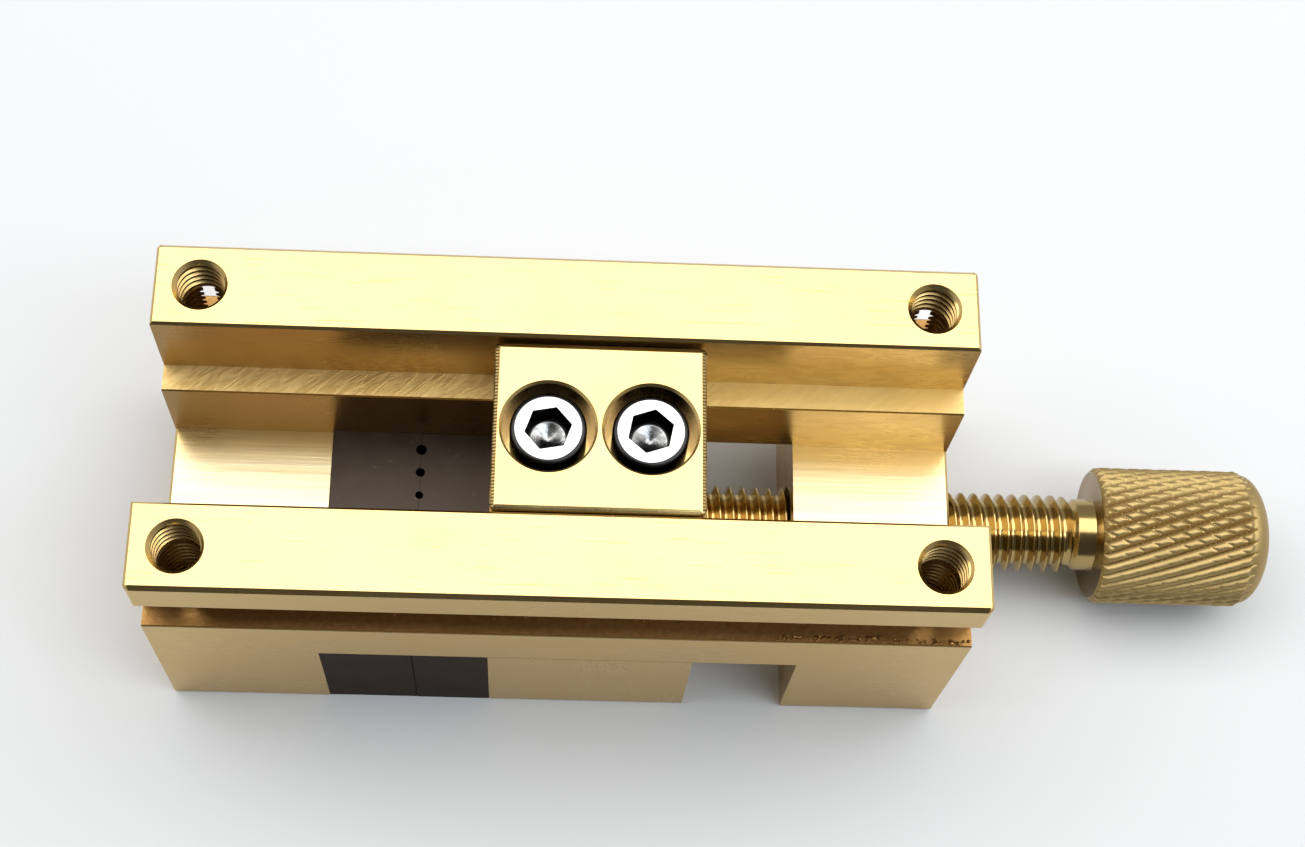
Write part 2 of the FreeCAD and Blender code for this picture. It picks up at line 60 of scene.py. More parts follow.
# ---------------------------------------------------------------- measures, millimetres
SCREW_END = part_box("thumb_screw")[1].x / MM
SCREW_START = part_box("thumb_screw")[0].x / MM
SCREW_HEIGHT = 5.7
SCREW_PITCH = 1.0
SCREW_ROOT = 2.40
SCREW_CREST = 2.98
TIP_RADIUS = 2.15
WAIST_RADIUS = 1.55
WAIST_START = SCREW_START + 2.6
WAIST_END = SCREW_START + 4.3
KNOB_LENGTH = 13.7
KNOB_START = SCREW_END - KNOB_LENGTH
NECK_LENGTH = 1.7
NECK_RADIUS = 2.75
THREAD_END = KNOB_START - NECK_LENGTH
THREAD_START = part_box("slider_block")[1].x / MM + 0.05
KNOB_RADIUS = 5.25
KNOB_CHAMFER = 0.4
KNOB_SHOULDER = 11.2
DOME_START = 11.5
DOME_RADIUS = 5.0
DOME_LENGTH = 2.2
RIDGES = 34
BODY_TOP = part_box("guide_body")[1].z / MM
EDGE_BREAK = 0.2
WIDER_RAIL_BREAK = 0.11
WIDER_PLATE_BREAK = 0.12
HAIR_BREAK = 0.04
# How far a CAD corner may be from where it is looked for.
NEARLY = 0.02
BODY_MIDDLE = (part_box("guide_body")[0].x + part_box("guide_body")[1].x) / 2 / MM
RIBS = 47
RIB_START = -5.7
RIB_PITCH = -2.0 * RIB_START / RIBS
HOLE_REACH = 25.8
HOLE_LINE = 9.6
RAIL_HOLES = [(BODY_MIDDLE + along, across)
              for along in (-HOLE_REACH, HOLE_REACH) for across in (-HOLE_LINE, HOLE_LINE)]
RAIL_PITCH = 0.7
RAIL_ROOT = 1.58
# Each rail hole's two threads: lower and upper end, measured from the body's top, and crest radius.
RAIL_THREADS = ((-9.6, -3.95, 1.76), (-3.85, -0.06, 1.99))
# How many degrees each cap screw's hexagon is turned.
CAP_TURNS = {"cap_screw_left": 11.0, "cap_screw_right": 19.0}
CAP_HEAD_HEIGHT = 3.0


# ---------------------------------------------------------------- mesh helpers
def add_grid(bm, rows):
    """Closed bands of quads between rings of points; returns the rings as vertices."""
    rings = [[bm.verts.new(Vector(point) * MM) for point in row] for row in rows]
    for ring, following in zip(rings, rings[1:]):
        for j in range(len(ring)):
            k = (j + 1) % len(ring)
            bm.faces.new((ring[j], ring[k], following[k], following[j]))
    return rings


def ring_about_x(along, radius, columns):
    """Points of a ring about the thumb screw's axis; radius is a number or one number a column."""
    turn = np.arange(columns) * TAU / columns
    radius = np.broadcast_to(radius, turn.shape)
    return np.stack([np.full(columns, along), radius * np.cos(turn),
                     SCREW_HEIGHT + radius * np.sin(turn)], axis=1)


def ring_edges(bm, ring):
    """The edges round a closed ring of vertices."""
    return [bm.edges.get((ring[j], ring[(j + 1) % len(ring)])) for j in range(len(ring))]


def bridge(bm, ring, following):
    """Joins two rings that may differ in their numbers of vertices."""
    bmesh.ops.bridge_loops(bm, edges=ring_edges(bm, ring) + ring_edges(bm, following))


# One turn of a 60 degree thread: share of the pitch, and share of the depth.
THREAD_PROFILE = ((0.045, 1.0), (0.085, 0.93), (0.345, 0.07), (0.40, 0.0),
                  (0.60, 0.0), (0.655, 0.07), (0.915, 0.93), (0.955, 1.0))


def thread_shell(bm, low, high, pitch, root, crest, columns, place):
    """A right-hand thread between two stations, fading to its root at both ends; its open ends are closed by
    the caller.
    """
    step = len(THREAD_PROFILE)
    turns = math.ceil((high - low) / pitch) + 1
    rows = [(low + (turn + share) * pitch, root + (crest - root) * depth)
            for turn in range(-1, turns) for share, depth in THREAD_PROFILE]
    grid = []
    for along, radius in rows:
        row = []
        for j in range(columns):
            spot = min(max(along + pitch * j / columns, low), high)
            reach = min(radius, root + min(spot - low, high - spot))
            turn = TAU * j / columns
            row.append(bm.verts.new(place(spot, reach * math.cos(turn), reach * math.sin(turn)) * MM))
        grid.append(row)
    for k in range(len(rows) - 1):
        for j in range(columns):
            if j + 1 < columns:
                right, right_up = grid[k][j + 1], grid[k + 1][j + 1]
            else:
                right = grid[min(k + step, len(rows) - 1)][0]
                right_up = grid[min(k + 1 + step, len(rows) - 1)][0]
            corners = []
            for vertex in (grid[k][j], right, right_up, grid[k + 1][j]):
                if vertex not in corners:
                    corners.append(vertex)
            if len(corners) > 2:
                bm.faces.new(corners)


def weld_and_cap(bm):
    """Joins vertices in the same spot, closes what is still open and drops loose vertices."""
    bmesh.ops.remove_doubles(bm, verts=bm.verts[:], dist=SAME_SPOT)
    bmesh.ops.dissolve_degenerate(bm, edges=bm.edges[:], dist=0.1 * SAME_SPOT)
    open_edges = [edge for edge in bm.edges if edge.is_boundary]
    if open_edges:
        bmesh.ops.holes_fill(bm, edges=open_edges, sides=0)
    loose = [vertex for vertex in bm.verts if not vertex.link_faces]
    bmesh.ops.delete(bm, geom=loose, context="VERTS")


def finish_mesh(bm, name, sharp_angle):
    """Turns a bmesh into an object; large or level faces and edges above an angle in degrees are not smooth."""
    bmesh.ops.dissolve_degenerate(bm, edges=bm.edges[:], dist=SLIVER)
    bmesh.ops.recalc_face_normals(bm, faces=bm.faces[:])
    limit = math.radians(sharp_angle)
    for face in bm.faces:
        face.smooth = face.calc_area() < LARGE_FLAT and abs(face.normal.z) < LEVEL
    for edge in bm.edges:
        edge.smooth = len(edge.link_faces) == 2 and edge.calc_face_angle(0.0) < limit
    mesh = bpy.data.meshes.new(name)
    bm.to_mesh(mesh)
    bm.free()
    if "custom_normal" in mesh.attributes:
        mesh.attributes.remove(mesh.attributes["custom_normal"])
    piece = bpy.data.objects.new(name, mesh)
    bpy.context.scene.collection.objects.link(piece)
    return piece


# ---------------------------------------------------------------- thumb screw
def knurl_depth(turn, offset, angle, depth, width):
    """Depth of slanted grooves; angle in degrees, width is half a groove's as a share of the spacing."""
    phase = RIDGES * (turn + offset * math.tan(math.radians(angle)) / KNOB_RADIUS) / TAU
    away = np.abs(phase - np.round(phase)) / width
    return depth * (1.0 - np.minimum(away, 1.0)) ** 2.4


def knob_envelope(offset):
    """Radius of the knob before knurling, at an offset from its flat face."""
    if offset < KNOB_CHAMFER:
        return KNOB_RADIUS - KNOB_CHAMFER + offset
    if offset < KNOB_SHOULDER:
        return KNOB_RADIUS
    if offset < DOME_START:
        share = (offset - KNOB_SHOULDER) / (DOME_START - KNOB_SHOULDER)
        return KNOB_RADIUS - (KNOB_RADIUS - DOME_RADIUS) * share
    return DOME_RADIUS * math.sqrt(max(0.0, 1.0 - ((offset - DOME_START) / DOME_LENGTH) ** 2))


def make_thumb_screw():
    """Threaded shaft, neck and cross-knurled knob in one closed surface."""
    bm = bmesh.new()
    fine = 408
    coarse = fine // 3
    turn = np.arange(fine) * TAU / fine
    # The crossing grooves are shallow round the side that faces the camera, as in the photo.
    cross_depth = 0.22 - 0.19 * np.exp(-((turn - 2.35) / 0.42) ** 2)
    offsets = list(np.arange(0.0, 11.9, 0.085))
    offsets += [DOME_START + DOME_LENGTH * math.sin(math.radians(angle))
                for angle in np.arange(14.0, 88.0, 4.0)]
    rows = []
    for offset in offsets:
        grooves = np.maximum(knurl_depth(turn, offset, angle=20.5, depth=0.42, width=0.50),
                             knurl_depth(turn, offset, angle=-26.0, depth=cross_depth, width=0.40))
        radius = np.minimum(knob_envelope(offset), KNOB_RADIUS - grooves)
        rows.append(ring_about_x(KNOB_START + offset, radius, fine))
    knob = add_grid(bm, rows)
    bm.faces.new(knob[-1])

    neck_profile = [(THREAD_END - 0.02, 2.42), (THREAD_END + 0.1, 2.5), (THREAD_END + 0.3, 2.72),
                    (THREAD_END + 0.36, NECK_RADIUS), (KNOB_START - 0.12, NECK_RADIUS),
                    (KNOB_START - 0.03, 2.79), (KNOB_START, 2.88), (KNOB_START, 4.4)]
    neck = add_grid(bm, [ring_about_x(along, radius, coarse) for along, radius in neck_profile])
    bridge(bm, neck[-1], knob[0])

    shaft = bmesh.new()
    thread_shell(shaft, THREAD_START, THREAD_END, SCREW_PITCH, SCREW_ROOT, SCREW_CREST, coarse,
                 lambda along, a, b: Vector((along, a, SCREW_HEIGHT + b)))
    bmesh.ops.remove_doubles(shaft, verts=shaft.verts[:], dist=SAME_SPOT)
    scratch = bpy.data.meshes.new("thread_scratch")
    shaft.to_mesh(scratch)
    shaft.free()
    bm.from_mesh(scratch)
    bpy.data.meshes.remove(scratch)
    tip_profile = [(SCREW_START, 0.4), (SCREW_START, 1.85), (SCREW_START + 0.3, TIP_RADIUS),
                   (WAIST_START, TIP_RADIUS), (WAIST_START, WAIST_RADIUS), (WAIST_END, WAIST_RADIUS),
                   (WAIST_END, TIP_RADIUS), (THREAD_START - 0.01, TIP_RADIUS)]
    tip = add_grid(bm, [ring_about_x(along, radius, coarse) for along, radius in tip_profile])
    bm.faces.new(tip[0])
    open_edges = [edge for edge in bm.edges if edge.is_boundary]
    middle = (THREAD_START + THREAD_END) / 2 * MM
    for side in (-1, 1):
        near = [edge for edge in open_edges if (edge.verts[0].co.x - middle) * side > 0]
        bmesh.ops.bridge_loops(bm, edges=near)
    weld_and_cap(bm)
    piece = finish_mesh(bm, "thumb_screw_knurled", 38.0)
    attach(piece, "thumb_screw")
    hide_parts("thumb_screw")
    return piece


# ---------------------------------------------------------------- CAD pieces with finer cuts
def carved_copy(node, name, body, cutter_bm, reshape):
    """A reshaped copy of a CAD node's mesh less a cutter's shape; it rides a body in the node's stead."""
    cutter = finish_mesh(cutter_bm, "cutter", 30.0)
    bm = bmesh.new()
    bm.from_mesh(NODES[node].data)
    for vertex in bm.verts:
        vertex.co = reshape(*(vertex.co / MM)) * MM
    bmesh.ops.remove_doubles(bm, verts=bm.verts[:], dist=SAME_SPOT)
    blank = finish_mesh(bm, "blank", 20.0)
    cut = blank.modifiers.new("cut", "BOOLEAN")
    cut.operation = "DIFFERENCE"
    cut.solver = "EXACT"
    cut.object = cutter
    bpy.context.view_layer.update()
    evaluated = blank.evaluated_get(bpy.context.evaluated_depsgraph_get())
    bm = bmesh.new()
    bm.from_mesh(evaluated.to_mesh())
    evaluated.to_mesh_clear()
    bpy.data.objects.remove(blank)
    bpy.data.objects.remove(cutter)
    piece = finish_mesh(bm, name, 24.0)
    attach(piece, body)
    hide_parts(node)
    return piece


def make_guide_body():
    """The CAD body with a real M4 thread cut in each rail hole, shallower beside the side groove."""
    bm = bmesh.new()
    for along, across in RAIL_HOLES:
        for low, high, crest in RAIL_THREADS:
            thread_shell(bm, BODY_TOP + low, BODY_TOP + high, RAIL_PITCH, RAIL_ROOT, crest, 48,
                         lambda up, a, b, x=along, y=across: Vector((x + a, y + b, up)))
    weld_and_cap(bm)
    outer_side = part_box("guide_body")[1].y / MM

    def reshape(x, y, z):
        """Widens the edge break along the rails' outer top edges."""
        if abs(y) > outer_side - NEARLY and abs(z - BODY_TOP + EDGE_BREAK) < NEARLY:
            z -= WIDER_RAIL_BREAK
        elif abs(abs(y) - outer_side + EDGE_BREAK) < NEARLY and abs(z - BODY_TOP) < NEARLY:
            y -= math.copysign(WIDER_RAIL_BREAK, y)
        return Vector((x, y, z))

    piece = carved_copy("guide_body", "guide_body_tapped", "guide", bm, reshape)
    return piece


def make_slider_plate():
    """The CAD plate with the cutter's fine upright ribs on both of its ends."""
    low, high = (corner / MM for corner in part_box("slider_plate"))
    bm = bmesh.new()
    for end, outward in ((low.x, -1.0), (high.x, 1.0)):
        beyond = end + outward * 0.3
        outline = [(beyond, RIB_START), (beyond, -RIB_START)]
        for step in range(2 * RIBS, -1, -1):
            depth = random.uniform(0.09, 0.18) if step % 2 else -0.004
            outline.append((end - outward * depth, RIB_START + step * RIB_PITCH / 2))
        floor = [bm.verts.new(Vector((x, y, low.z - 0.2)) * MM) for x, y in outline]
        roof = [bm.verts.new(Vector((x, y, high.z + 0.2)) * MM) for x, y in outline]
        bm.faces.new(floor)
        bm.faces.new(roof)
        for j in range(len(outline)):
            k = (j + 1) % len(outline)
            bm.faces.new((floor[j], floor[k], roof[k], roof[j]))
    middle = (low.x + high.x) / 2

    def reshape(x, y, z):
        """Widens the edge break along the top edge of both ends."""
        inner_edge = (high.x - low.x) / 2 - EDGE_BREAK
        if abs(abs(x - middle) - inner_edge) < NEARLY and abs(z - high.z) < NEARLY:
            x -= math.copysign(WIDER_PLATE_BREAK, x - middle)
        return Vector((x, y, z))

    piece = carved_copy("slider_plate", "slider_plate_ribbed", "slider", bm, reshape)
    return piece


def make_jaw(node, body, meeting):
    """The CAD jaw with only a hair's edge break on the upright edges where the two jaws meet."""
    piece = bpy.data.objects.new(f"{node}_ground", NODES[node].data.copy())
    bpy.context.scene.collection.objects.link(piece)
    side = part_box(node)[1].y / MM
    for vertex in piece.data.vertices:
        x, y, _ = vertex.co / MM
        if abs(y) > side - EDGE_BREAK - NEARLY and abs(x - meeting) < EDGE_BREAK + NEARLY:
            if abs(x - meeting) > EDGE_BREAK - NEARLY:
                vertex.co.x = (meeting + math.copysign(HAIR_BREAK, x - meeting)) * MM
            elif abs(y) < side - EDGE_BREAK + NEARLY:
                vertex.co.y = math.copysign(side - HAIR_BREAK, y) * MM
    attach(piece, body)
    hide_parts(node)
    return piece


# ---------------------------------------------------------------- cap screws
def make_cap_screw(node):
    """Socket cap screw: black sides, bright turned top, hexagon socket and drilled cone below it."""
    low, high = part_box(node)
    centre = (low + high) / 2 / MM
    top = high.z / MM
    seat = top - CAP_HEAD_HEIGHT
    columns = 96
    turn = np.arange(columns) * TAU / columns
    lean = math.radians(CAP_TURNS[node])

    def circle(radius, height):
        """A ring about the screw's axis; radius is a number or one number a column."""
        return np.stack([centre.x + radius * np.cos(turn), centre.y + radius * np.sin(turn),
                         np.full(columns, height)], axis=1)

    def hexagon(width, height):
        """A six-sided ring, so wide across its flats."""
        around = np.mod(turn - lean, TAU / 6)
        radius = width / 2 / np.cos(around - TAU / 12)
        return circle(radius, height)

    outside = [circle(1.2, low.z / MM), circle(1.5, low.z / MM + 0.3), circle(1.5, seat), circle(2.5, seat),
               circle(2.675, seat + 0.12)]
    outside += [circle(2.325 + 0.35 * math.cos(angle), top - 0.28 + 0.28 * math.sin(angle))
                for angle in np.linspace(0.0, math.pi / 2, 7)]
    outside += [circle(2.29, top), circle(1.9, top), hexagon(2.90, top), hexagon(2.83, top - 0.03),
                hexagon(2.8, top - 0.09), hexagon(2.8, top - 1.9), circle(1.30, top - 1.9),
                circle(1.22, top - 1.91)]
    inside = [circle(1.18, top - 1.925), circle(0.8, top - 2.086), circle(0.4, top - 2.256),
              circle(0.12, top - 2.375), circle(0.03, top - 2.39)]
    bm = bmesh.new()
    rings = add_grid(bm, outside + inside)
    bm.faces.new(rings[0])
    bm.faces.new(rings[-1]).material_index = 2
    # Of the bands between the rings, those of the flat top are bright and those of the cone are drilled.
    bright = range(len(outside) - 9, len(outside) - 6)
    drilled = len(outside) - 1
    for index, ring in enumerate(rings[:-1]):
        for j in range(columns):
            pair = (ring[j], ring[(j + 1) % columns])
            for face in bm.edges.get(pair).link_faces:
                if rings[index + 1][j] in face.verts:
                    face.material_index = 1 if index in bright else 2 if index >= drilled else 0
    piece = finish_mesh(bm, f"{node}_detailed", 32.0)
    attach(piece, "slider")
    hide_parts(node)
    return piece


# ---------------------------------------------------------------- burrs
# Torn metal left by the cutters: start and end along X, then Y, Z, how many and how large, mm.
BURR_RUNS = (
    (2.4, 6.2, -12.36, 17.12, 26, 0.16), (6.6, 9.8, -12.36, 17.12, 26, 0.18),
    (10.8, 13.1, -12.36, 17.12, 14, 0.14), (13.5, 16.0, -12.36, 17.12, 22, 0.18),
    (-7.8, -2.6, -11.4, 17.2, 18, 0.10), (-25.4, -22.0, -11.4, 17.15, 8, 0.09),
    (-19.4, -14.2, -11.4, 17.2, 18, 0.11), (-13.0, -8.5, -11.4, 17.15, 8, 0.07),
    (-2.5, 5.0, 4.57, 18.2, 20, 0.07), (5.0, 15.5, 4.57, 18.2, 10, 0.06))


def make_burrs():
    """Small torn flakes along the side groove and the edge of the rear ledge."""
    bm = bmesh.new()
    for start, end, across, up, count, size in BURR_RUNS:
        for _ in range(count):
            spot = Vector((random.uniform(start, end), across + random.uniform(-0.9, 0.9) * size, up))
            reach = size * random.uniform(0.4, 1.15)
            turn = Euler([random.uniform(-0.6, 0.6) for _ in range(3)]).to_matrix().to_4x4()
            shape = Matrix.Diagonal((reach * random.uniform(0.7, 1.6), reach * 0.7, reach, 1.0))
            flake = bmesh.ops.create_icosphere(bm, subdivisions=2, radius=MM,
                                               matrix=Matrix.Translation(spot * MM) @ turn @ shape)
            for vertex in flake["verts"]:
                vertex.co += Vector([random.uniform(-0.22, 0.22) for _ in range(3)]) * reach * MM
    piece = finish_mesh(bm, "milling_burrs", 40.0)
    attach(piece, "guide")
    return piece


# ---------------------------------------------------------------- materials
class Finish:
    """A procedural material round one Principled shader; textures are laid out in millimetres."""

    def __init__(self, name, metallic=1.0):
        self.material = bpy.data.materials.new(name)
        self.material.use_nodes = True
        self.tree = self.material.node_tree
        self.shader = self.tree.nodes["Principled BSDF"]
        self.shader.inputs["Metallic"].default_value = metallic
        coords = self.tree.nodes.new("ShaderNodeTexCoord")
        scaled = self.node("ShaderNodeVectorMath", {0: coords.outputs["Object"], "Scale": 1.0 / MM},
                           operation="SCALE")
        self.place = scaled.outputs[0]
        self.facing = coords.outputs["Normal"]

    def node(self, kind, inputs=None, **settings):
        """A new node; inputs may be sockets to link or values to set."""
        made = self.tree.nodes.new(kind)
        for key, setting in settings.items():
            setattr(made, key, setting)
        for key, source in (inputs or {}).items():
            if isinstance(source, bpy.types.NodeSocket):
                self.tree.links.new(source, made.inputs[key])
            else:
                made.inputs[key].default_value = source
        return made

    def math(self, operation, first, second=0.0):
        return self.node("ShaderNodeMath", {0: first, 1: second}, operation=operation).outputs[0]

    def both(self, first, second):
        """Product of two shares."""
        return self.math("MULTIPLY", first, second)

    def away_from(self, value, middle):
        return self.math("ABSOLUTE", self.math("SUBTRACT", value, middle))

    def length(self, first, second):
        """Length of a vector of two parts."""
        squares = self.math("ADD", self.math("POWER", first, 2.0), self.math("POWER", second, 2.0))
        return self.math("SQRT", squares)

    def split(self, vector):
        return self.node("ShaderNodeSeparateXYZ", {0: vector}).outputs

    def noise(self, stretch, detail=2.0, roughness=0.5, turn=0.0, distortion=0.0):
        """Noise with so many cells a millimetre along each axis, turned about Z by some degrees first."""
        turned = self.node("ShaderNodeVectorRotate", {"Vector": self.place, "Angle": math.radians(turn)},
                           rotation_type="Z_AXIS").outputs[0]
        laid = self.node("ShaderNodeVectorMath", {0: turned, 1: stretch}, operation="MULTIPLY").outputs[0]
        settings = {"Vector": laid, "Scale": 1.0, "Detail": detail, "Roughness": roughness,
                    "Distortion": distortion}
        return self.node("ShaderNodeTexNoise", settings).outputs["Fac"]

    def between(self, value, low, high, start=0.0, end=1.0):
        """Smooth step from start to end as value goes from low to high."""
        return self.node("ShaderNodeMapRange", {"Value": value, "From Min": low, "From Max": high,
                                                "To Min": start, "To Max": end},
                         interpolation_type="SMOOTHSTEP").outputs["Result"]

    def band(self, value, low, low_full, high_full, high):
        """1 where value lies between two full points, fading to 0 beyond them."""
        return self.both(self.between(value, low, low_full), self.between(value, high, high_full))

    def blend(self, share, first, second):
        """A colour from first to second as share goes from 0 to 1."""
        made = self.node("ShaderNodeMix", {"Factor": share}, data_type="RGBA")
        for name, source in (("A", first), ("B", second)):
            socket = next(s for s in made.inputs if s.name == name and s.type == "RGBA")
            if isinstance(source, bpy.types.NodeSocket):
                self.tree.links.new(source, socket)
            else:
                socket.default_value = (*source, 1.0)
        return next(s for s in made.outputs if s.type == "RGBA")

    def total(self, terms):
        """Sum of weight x value pairs."""
        result = None
        for weight, value in terms:
            term = self.math("MULTIPLY", value, weight)
            result = term if result is None else self.math("ADD", result, term)
        return result

    def finish(self, colour, roughness, height=None, depth=0.01):
        """Wires the shader; depth is in millimetres for a height of 0 to 1."""
        for name, source in (("Base Color", colour), ("Roughness", roughness)):
            self.tree.links.new(source, self.shader.inputs[name])
        if height is not None:
            bump = self.node("ShaderNodeBump", {"Height": height, "Distance": depth * MM, "Strength": 1.0})
            self.tree.links.new(bump.outputs["Normal"], self.shader.inputs["Normal"])
        return self.material


def facing_masks(finish):
    """Shares of a surface that faces up, faces along Y, and faces along X."""
    x, y, z = finish.split(finish.facing)
    up = finish.between(z, 0.85, 0.97)
    across = finish.between(finish.math("ABSOLUTE", y), 0.85, 0.97)
    along = finish.between(finish.math("ABSOLUTE", x), 0.85, 0.97)
    return up, across, along


def scratches(finish, stretch, threshold):
    """Sparse thin lines where stretched noise passes a threshold."""
    return finish.between(finish.noise(stretch, detail=3.0, roughness=0.6), threshold, threshold + 0.04)


BRASS = (0.590, 0.415, 0.158)
BRASS_DEEP = (0.46, 0.300, 0.105)
BRASS_PALE = (0.61, 0.440, 0.180)
BRASS_DARK = (0.22, 0.120, 0.038)
# Painted shade: a darker brass for the faces along Y.
BRASS_SIDE_SHADE = (0.555, 0.362, 0.104)
# Painted shade: a dark brass for the side grooves.
BRASS_GROOVE_SHADE = (0.29, 0.148, 0.044)
# Painted shade: a darker brass for the inner walls towards the left.
BRASS_INNER_SHADE = (0.34, 0.185, 0.050)
BRASS_PIT = (0.10, 0.06, 0.02)
# Painted shade: a near black brass for the plate's ribbed ends.
BRASS_RIB_SHADE = (0.060, 0.038, 0.014)
# Painted dark reflection: a dark brass for the plate's front edge.
BRASS_FRONT_EDGE_REFLECTION = (0.30, 0.195, 0.065)
# Painted shade: a dark brass for the rear of the bores.
BRASS_BORE_SHADE = (0.10, 0.055, 0.025)
SLOT_FLOOR = (0.61, 0.485, 0.28)
SLOT_FLOOR_PALE = (0.66, 0.54, 0.34)
SLOT_FLOOR_EDGE = (0.56, 0.39, 0.150)
SCREW_BRASS = (0.44, 0.315, 0.128)
SCREW_BRASS_DEEP = (0.39, 0.275, 0.108)
KNOB_BRASS = (0.385, 0.280, 0.118)
# Painted shade: a dark brass for the knurl's grooves and the knob's flat face.
KNURL_SHADE_BRASS = (0.20, 0.125, 0.042)
PAPER_FRONT = (0.531, 0.531, 0.526)
PAPER_BACK = (0.544, 0.546, 0.549)
PAPER_CLOUD = (0.544, 0.544, 0.554)


def tapped_hole_mask(finish):
    """Share of a surface that lies inside the rail holes."""
    x, y, z = finish.split(finish.place)
    along = finish.math("SUBTRACT", finish.away_from(x, BODY_MIDDLE), HOLE_REACH)
    across = finish.math("SUBTRACT", finish.math("ABSOLUTE", y), HOLE_LINE)
    near_axis = finish.between(finish.length(along, across), 2.12, 2.04)
    return finish.both(near_axis, finish.between(z, BODY_TOP - 0.3, BODY_TOP - 0.9))


def brass_for_body():
    """Milled brass: polished rails, brushed sides, cutter marks on the ledges and in the side grooves. Painted
    shade darkens the outer sides, the side grooves, the insides of the rail holes and the inner walls towards
    the left.
    """
    finish = Finish("brass_milled")
    up, across, along = facing_masks(finish)
    x, y, z = finish.split(finish.place)
    side = finish.math("ABSOLUTE", y)

    cloud = finish.noise((0.12, 0.22, 0.22), detail=3.0)
    fine = finish.noise((0.25, 9.0, 9.0), detail=3.0, roughness=0.65)
    broad = finish.noise((0.05, 1.6, 1.6), detail=2.0)
    strokes = finish.noise((0.55, 2.6, 1.0), detail=2.0, roughness=0.6, turn=-42.0, distortion=0.8)
    pits = finish.between(finish.noise((3.0, 3.0, 3.0), detail=2.0), 0.78, 0.82)
    blotches = finish.noise((0.35, 0.6, 0.9), detail=4.0, roughness=0.65, distortion=1.0)
    chatter = finish.noise((2.4, 2.4, 3.2), detail=4.0, roughness=0.7, distortion=0.4)
    side_lines = finish.noise((0.35, 1.0, 7.0), detail=3.0, roughness=0.6)
    floor_lines = finish.noise((0.06, 2.4, 1.0), detail=3.0, roughness=0.6)

    rail_top = finish.both(up, finish.between(z, 25.0, 25.3))
    rubbed = finish.both(scratches(finish, (0.14, 9.0, 9.0), 0.665), rail_top)
    ledge = finish.both(up, finish.band(z, 17.6, 17.9, 18.5, 18.8))
    slot_floor = finish.both(up, finish.between(z, 12.0, 11.6))
    inner = finish.both(across, finish.between(side, 7.2, 6.8))
    outer = finish.both(across, finish.between(side, 12.3, 12.5))
    marked = finish.both(ledge, finish.between(x, -12.0, 4.0, 1.0, 0.3))
    blotched = finish.both(inner, finish.between(x, -12.0, 2.0, 0.15, 1.0))
    groove = finish.both(finish.between(side, 10.8, 11.1), finish.band(z, 17.0, 17.06, 21.66, 21.72))
    groove = finish.both(groove, finish.between(finish.away_from(x, BODY_MIDDLE), 29.6, 29.2))
    hole = tapped_hole_mask(finish)

    floor_tint = finish.blend(finish.between(floor_lines, 0.3, 0.7), SLOT_FLOOR, SLOT_FLOOR_PALE)
    floor_tint = finish.blend(finish.between(side, 1.6, 4.0, 0.0, 0.8), floor_tint, SLOT_FLOOR_EDGE)
    tint = finish.blend(finish.between(cloud, 0.3, 0.7), BRASS, BRASS_PALE)
    for share, colour in (
            (finish.both(rubbed, 0.75), BRASS_DARK),
            (finish.both(marked, finish.between(strokes, 0.36, 0.60, 0.0, 0.8)), BRASS_DEEP),
            (finish.both(blotched, finish.between(blotches, 0.42, 0.60, 0.0, 0.55)), BRASS_DEEP),
            # Painted shade: the inner walls darken towards the left.
            (finish.both(inner, finish.between(x, -6.0, -22.0, 0.0, 0.65)), BRASS_INNER_SHADE),
            (slot_floor, floor_tint),
            # Painted shade: the outer sides take a darker brass, broken by the brushed lines.
            (finish.both(outer, finish.between(side_lines, 0.2, 0.8, 1.0, 0.8)), BRASS_SIDE_SHADE),
            # Painted shade: the side groove is darkened, with its chatter marks breaking the tint.
            (finish.both(groove, finish.between(chatter, 0.35, 0.65, 0.85, 1.0)), BRASS_GROOVE_SHADE),
            # Painted shade: the inside of the rail holes is darkened.
            (finish.both(hole, 0.55), BRASS_DARK),
            (finish.both(pits, 0.7), BRASS_PIT)):
        tint = finish.blend(share, tint, colour)

    roughness = finish.total([
        (1.0, finish.between(cloud, 0.3, 0.7, 0.15, 0.20)), (0.08, fine), (0.08, across), (0.06, along),
        (0.12, rubbed), (0.20, groove), (0.22, ledge), (0.08, slot_floor), (0.15, pits), (0.06, hole)])
    height = finish.total([
        (0.10, finish.both(fine, up)), (0.55, finish.both(broad, up)), (-0.25, rubbed),
        (2.6, finish.both(strokes, marked)), (1.8, finish.both(chatter, groove)),
        (0.9, finish.both(floor_lines, slot_floor)), (1.2, finish.both(blotches, blotched)),
        (0.05, finish.both(side_lines, across)), (-0.6, pits)])
    return finish.finish(tint, roughness, height, depth=0.010)


